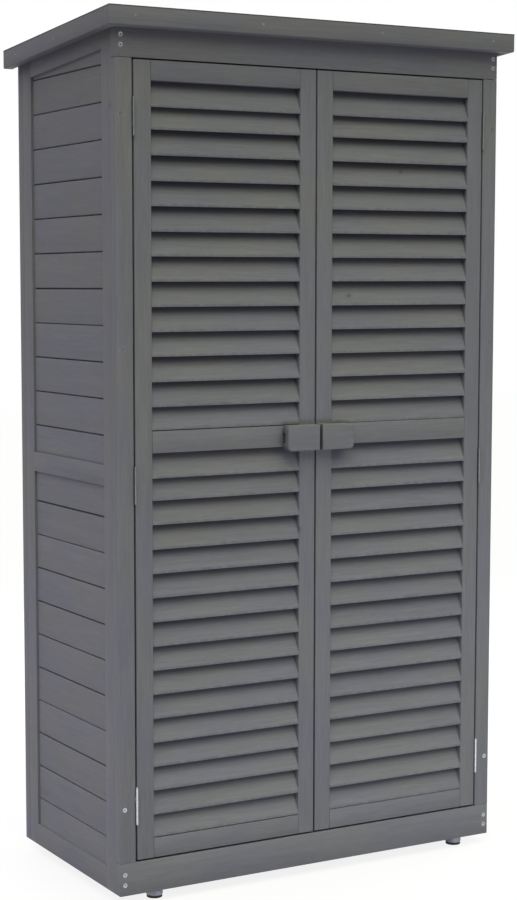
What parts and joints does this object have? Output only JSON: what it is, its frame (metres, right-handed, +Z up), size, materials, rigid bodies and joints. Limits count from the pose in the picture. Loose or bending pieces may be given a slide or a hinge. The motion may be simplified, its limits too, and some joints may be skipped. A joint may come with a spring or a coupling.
{
  "type": "garden storage cabinet",
  "caption": "Upright painted fir cabinet with a roof that falls to the back, louvred double doors on butt hinges, planked sides and slatted shelves.",
  "frame": {"origin": "on the floor under the centre of the roof outline", "axes": "+Z up, the doors face -Y, +X to the right as seen from the front"},
  "size_m": [0.87, 0.465, 1.6],
  "materials": {
    "painted_fir": "semi-matt grey paint on fir, grain and knots show through",
    "zinc_steel": "bright zinc plate",
    "roofing_felt": "dark mineral-faced roofing felt",
    "foot_plastic": "light grey moulded plastic",
    "foot_rubber": "black rubber",
    "catch_plastic": "off-white moulded plastic"
  },
  "bodies": {
    "cabinet": {"back_fascia": "painted_fir", "back_planks": "painted_fir", "back_rails": "painted_fir", "back_stiles": "painted_fir", "door_stops": "painted_fir", "fascia_nails": "zinc_steel", "floor_bearers": "painted_fir", "floor_boards": "painted_fir", "foot_caps": "foot_plastic", "foot_pads": "foot_rubber", "frame_screws": "zinc_steel", "front_fascia": "painted_fir", "front_left_post": "painted_fir", "front_right_post": "painted_fir", "header_board": "painted_fir", "hinge_frame_leaves": "zinc_steel", "hinge_frame_screws": "zinc_steel", "hinge_pins": "zinc_steel", "left_back_stile": "painted_fir", "left_fascia": "painted_fir", "left_front_stile": "painted_fir", "left_side_planks": "painted_fir", "left_side_rails": "painted_fir", "lower_shelf": "painted_fir", "magnet_catches": "catch_plastic", "plinth_board": "painted_fir", "right_back_stile": "painted_fir", "right_fascia": "painted_fir", "right_front_stile": "painted_fir", "right_side_planks": "painted_fir", "right_side_rails": "painted_fir", "roof_battens": "painted_fir", "roof_boards": "painted_fir", "roof_felt": "roofing_felt", "shelf_cleats": "painted_fir", "upper_shelf": "painted_fir"},
    "left_door": {"left_door_bottom_rail": "painted_fir", "left_door_mid_rail": "painted_fir", "left_door_top_rail": "painted_fir", "left_handle": "painted_fir", "left_handle_screws": "zinc_steel", "left_hinge_leaves": "zinc_steel", "left_hinge_screws": "zinc_steel", "left_hinge_stile": "painted_fir", "left_meeting_stile": "painted_fir", "left_slats": "painted_fir", "left_strike_plate": "zinc_steel"},
    "right_door": {"right_door_bottom_rail": "painted_fir", "right_door_mid_rail": "painted_fir", "right_door_top_rail": "painted_fir", "right_handle": "painted_fir", "right_handle_screws": "zinc_steel", "right_hinge_leaves": "zinc_steel", "right_hinge_screws": "zinc_steel", "right_hinge_stile": "painted_fir", "right_meeting_stile": "painted_fir", "right_slats": "painted_fir", "right_strike_plate": "zinc_steel"}
  },
  "joints": [
    {"name": "left_door_hinge", "type": "hinge", "parent": "cabinet", "child": "left_door", "pos_m": [-0.3785, -0.2118, 0.8], "axis": [0, 0, -1], "range_deg": [0, 175]},
    {"name": "right_door_hinge", "type": "hinge", "parent": "cabinet", "child": "right_door", "pos_m": [0.3785, -0.2118, 0.8], "axis": [0, 0, 1], "range_deg": [0, 175]}
  ]
}
